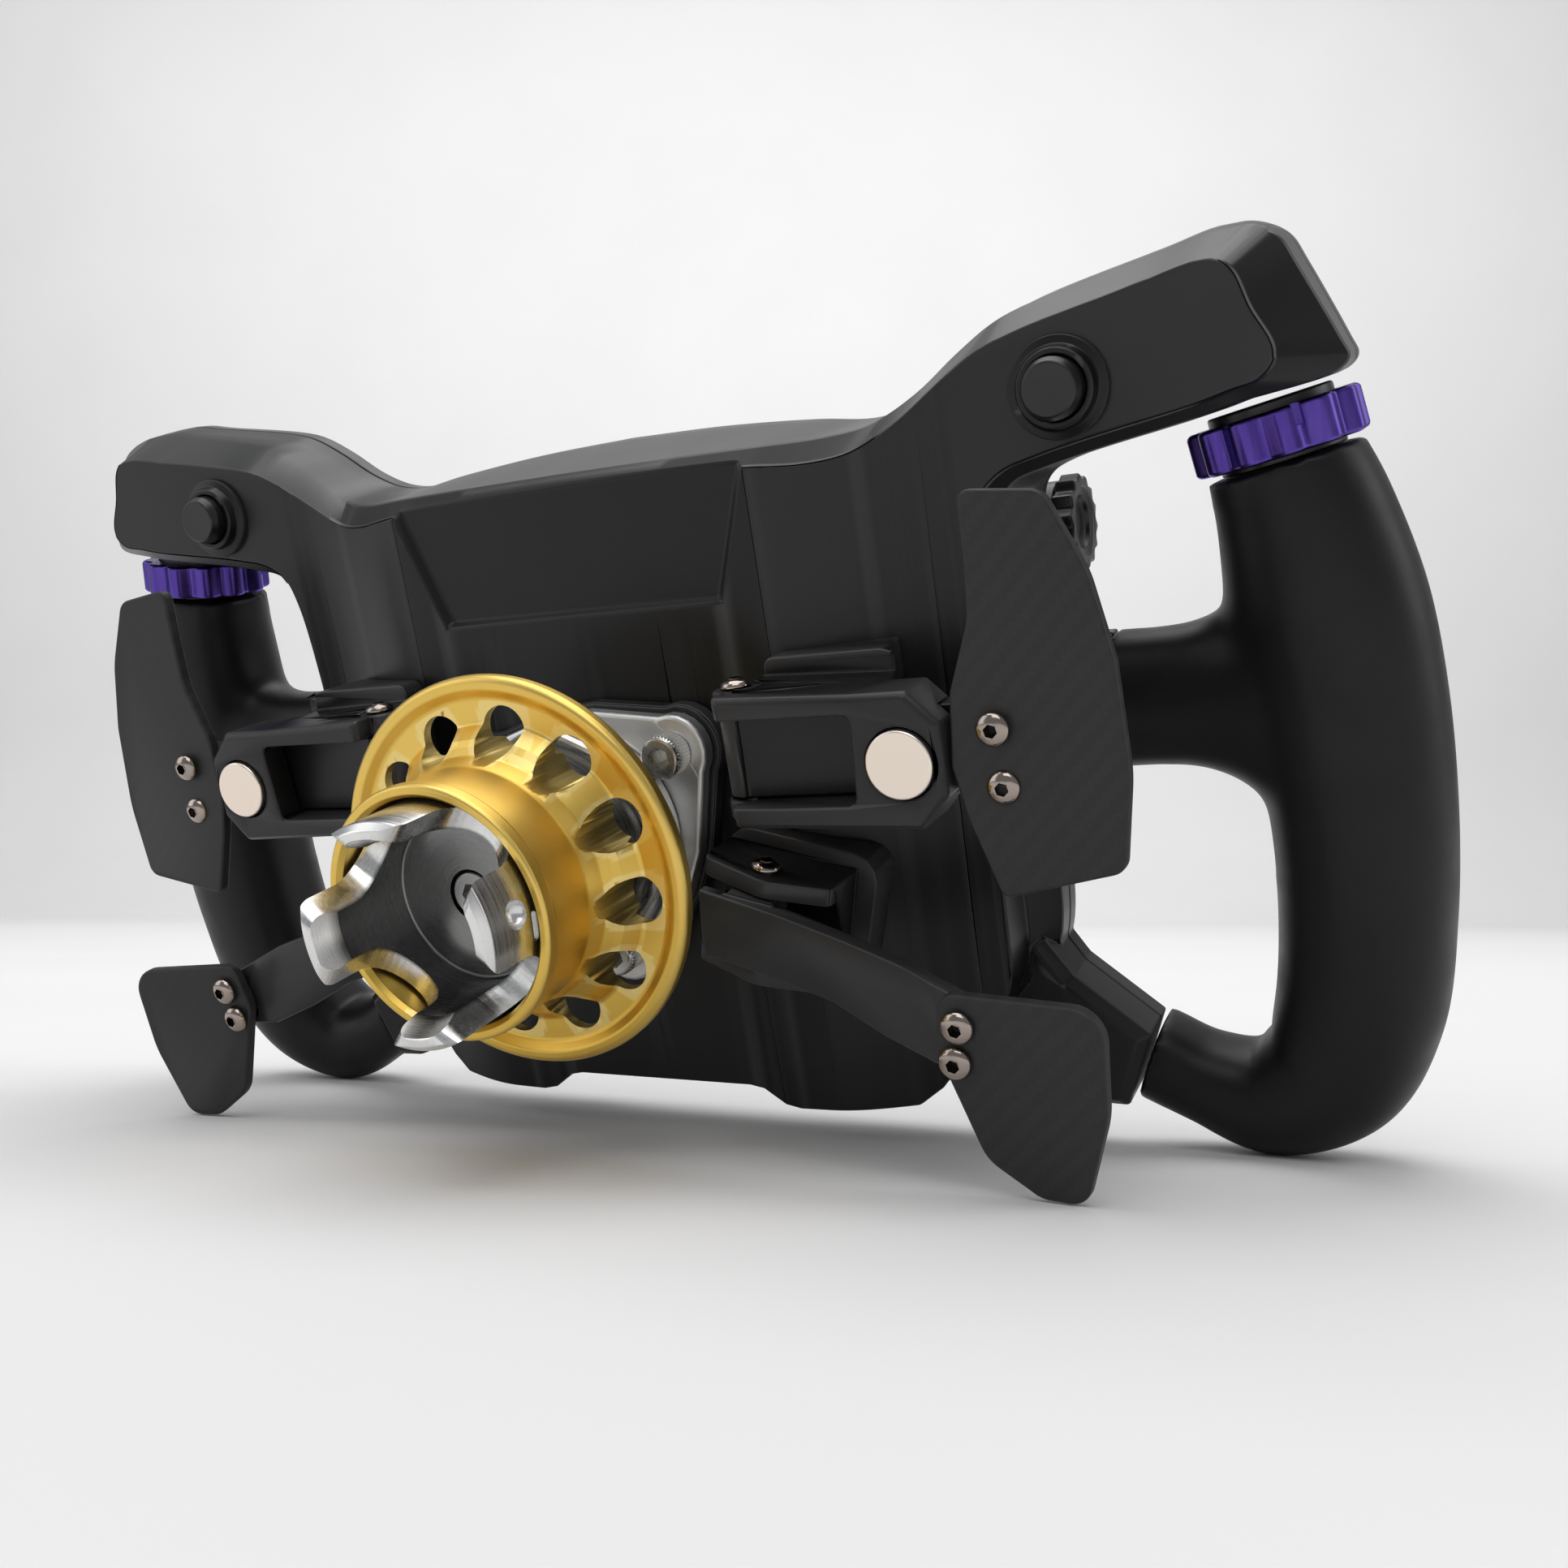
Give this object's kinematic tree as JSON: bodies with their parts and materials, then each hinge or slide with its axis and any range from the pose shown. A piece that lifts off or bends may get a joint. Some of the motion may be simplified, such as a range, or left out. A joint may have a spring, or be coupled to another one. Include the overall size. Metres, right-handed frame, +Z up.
{
  "type": "racing wheel",
  "caption": "Sim racing steering wheel with side grips, rear shifter and clutch paddles, rear and front buttons, thumb rings and a quick-release hub.",
  "frame": {"origin": "on the hub axis, at the depth of the flat rear face of the upper horns", "axes": "+X to the driver's right, +Z up with the wheel leaning back 20 degrees on its grips and clutch paddles as on a table; the hub axis points to the wheel base along [0, 0.9397, -0.3420]"},
  "size_m": [0.3076, 0.1369, 0.163],
  "materials": {
    "black_anodised": "satin black anodised",
    "grip_rubber": "matte black moulded rubber",
    "purple_anodised": "gloss purple anodised",
    "gold_anodised": "bead-blasted gold anodised",
    "machined_aluminium": "bright machined",
    "nickel": "polished nickel plate",
    "steel": "plain steel",
    "carbon_fibre": "matte twill carbon laminate",
    "black_plastic": "satin black moulded plastic",
    "circuit_board": "solder mask",
    "display_glass": "black display glass"
  },
  "bodies": {
    "wheel": {"rear_housing": "black_anodised", "front_plate": "black_anodised", "display_panel": "display_glass", "light_bar": "black_plastic", "circuit_board": "circuit_board", "adapter_spacer": "black_anodised", "adapter_plate": "machined_aluminium", "adapter_screw_1": "machined_aluminium", "adapter_screw_2": "machined_aluminium", "adapter_screw_3": "machined_aluminium", "quick_release_nose": "machined_aluminium", "nose_screw": "steel", "release_spring": "steel", "right_grip": "grip_rubber", "right_knob_block": "black_anodised", "right_ring_collar": "black_plastic", "right_button_collar": "black_anodised", "right_shifter_bracket": "black_anodised", "right_shifter_magnet": "nickel", "right_shifter_pivot_screw": "nickel", "right_clutch_bracket": "black_anodised", "right_clutch_pivot_screw": "nickel", "left_grip": "grip_rubber", "left_knob_block": "black_anodised", "left_ring_collar": "black_plastic", "left_button_collar": "black_anodised", "left_shifter_bracket": "black_anodised", "left_shifter_magnet": "nickel", "left_shifter_pivot_screw": "nickel", "left_clutch_bracket": "black_anodised", "left_clutch_pivot_screw": "nickel"},
    "right_shifter": {"right_shifter_arm": "black_anodised", "right_shifter_plate": "carbon_fibre", "right_shifter_screw_upper": "nickel", "right_shifter_screw_lower": "nickel"},
    "right_clutch": {"right_clutch_arm": "black_anodised", "right_clutch_plate": "carbon_fibre", "right_clutch_screw_upper": "nickel", "right_clutch_screw_lower": "nickel"},
    "right_rear_button": {"right_rear_button": "black_plastic"},
    "right_thumb_ring": {"right_thumb_ring": "purple_anodised"},
    "right_side_knob": {"right_side_knob": "black_plastic"},
    "right_front_button_upper": {"right_front_button_upper": "black_plastic"},
    "right_front_button_middle": {"right_front_button_middle": "black_plastic"},
    "right_front_button_lower": {"right_front_button_lower": "black_plastic"},
    "left_shifter": {"left_shifter_arm": "black_anodised", "left_shifter_plate": "carbon_fibre", "left_shifter_screw_upper": "nickel", "left_shifter_screw_lower": "nickel"},
    "left_clutch": {"left_clutch_arm": "black_anodised", "left_clutch_plate": "carbon_fibre", "left_clutch_screw_upper": "nickel", "left_clutch_screw_lower": "nickel"},
    "left_rear_button": {"left_rear_button": "black_plastic"},
    "left_thumb_ring": {"left_thumb_ring": "purple_anodised"},
    "left_side_knob": {"left_side_knob": "black_plastic"},
    "left_front_button_upper": {"left_front_button_upper": "black_plastic"},
    "left_front_button_middle": {"left_front_button_middle": "black_plastic"},
    "left_front_button_lower": {"left_front_button_lower": "black_plastic"},
    "release_ring": {"release_ring": "gold_anodised"}
  },
  "joints": [
    {"name": "right_shifter_pull", "type": "hinge", "parent": "wheel", "child": "right_shifter", "pos_m": [0.0412, 0.02712, 0.00609], "axis": [0, -0.342, -0.9397], "range_deg": [0, 5], "stiffness_Nm_per_rad": 1.2, "springref_deg": -11.46},
    {"name": "right_clutch_pull", "type": "hinge", "parent": "wheel", "child": "right_clutch", "pos_m": [0.0403, 0.01899, -0.01362], "axis": [-0.2419, -0.3319, -0.9118], "range_deg": [0, 16], "stiffness_Nm_per_rad": 1, "springref_deg": -28.65},
    {"name": "right_rear_button_press", "type": "slide", "parent": "wheel", "child": "right_rear_button", "axis": [0, -0.9397, 0.342], "range_m": [0, 0.0015], "stiffness_N_per_m": 300, "springref_m": -0.002},
    {"name": "right_thumb_ring_turn", "type": "hinge", "parent": "wheel", "child": "right_thumb_ring", "pos_m": [0.1296, -0.00195, 0.05605], "axis": [-0.1822, 0.3363, 0.924], "continuous": true},
    {"name": "right_side_knob_turn", "type": "hinge", "parent": "wheel", "child": "right_side_knob", "pos_m": [0.0845, -0.01893, 0.05382], "axis": [1, 0, 0], "continuous": true},
    {"name": "right_front_button_upper_press", "type": "slide", "parent": "wheel", "child": "right_front_button_upper", "axis": [0, 0.9397, -0.342], "range_m": [0, 0.0012], "stiffness_N_per_m": 300, "springref_m": -0.002},
    {"name": "right_front_button_middle_press", "type": "slide", "parent": "wheel", "child": "right_front_button_middle", "axis": [0, 0.9397, -0.342], "range_m": [0, 0.0012], "stiffness_N_per_m": 300, "springref_m": -0.002},
    {"name": "right_front_button_lower_press", "type": "slide", "parent": "wheel", "child": "right_front_button_lower", "axis": [0, 0.9397, -0.342], "range_m": [0, 0.0012], "stiffness_N_per_m": 300, "springref_m": -0.002},
    {"name": "left_shifter_pull", "type": "hinge", "parent": "wheel", "child": "left_shifter", "pos_m": [-0.0412, 0.02712, 0.00609], "axis": [0, 0.342, 0.9397], "range_deg": [0, 5], "stiffness_Nm_per_rad": 1.2, "springref_deg": -11.46},
    {"name": "left_clutch_pull", "type": "hinge", "parent": "wheel", "child": "left_clutch", "pos_m": [-0.0403, 0.01899, -0.01362], "axis": [-0.2419, 0.3319, 0.9118], "range_deg": [0, 16], "stiffness_Nm_per_rad": 1, "springref_deg": -28.65},
    {"name": "left_rear_button_press", "type": "slide", "parent": "wheel", "child": "left_rear_button", "axis": [0, -0.9397, 0.342], "range_m": [0, 0.0015], "stiffness_N_per_m": 300, "springref_m": -0.002},
    {"name": "left_thumb_ring_turn", "type": "hinge", "parent": "wheel", "child": "left_thumb_ring", "pos_m": [-0.1296, -0.00195, 0.05605], "axis": [0.1822, 0.3363, 0.924], "continuous": true},
    {"name": "left_side_knob_turn", "type": "hinge", "parent": "wheel", "child": "left_side_knob", "pos_m": [-0.0845, -0.01893, 0.05382], "axis": [-1, 0, 0], "continuous": true},
    {"name": "left_front_button_upper_press", "type": "slide", "parent": "wheel", "child": "left_front_button_upper", "axis": [0, 0.9397, -0.342], "range_m": [0, 0.0012], "stiffness_N_per_m": 300, "springref_m": -0.002},
    {"name": "left_front_button_middle_press", "type": "slide", "parent": "wheel", "child": "left_front_button_middle", "axis": [0, 0.9397, -0.342], "range_m": [0, 0.0012], "stiffness_N_per_m": 300, "springref_m": -0.002},
    {"name": "left_front_button_lower_press", "type": "slide", "parent": "wheel", "child": "left_front_button_lower", "axis": [0, 0.9397, -0.342], "range_m": [0, 0.0012], "stiffness_N_per_m": 300, "springref_m": -0.002},
    {"name": "release_ring_pull", "type": "slide", "parent": "wheel", "child": "release_ring", "axis": [0, -0.9397, 0.342], "range_m": [0, 0.005], "stiffness_N_per_m": 800, "springref_m": -0.01}
  ]
}
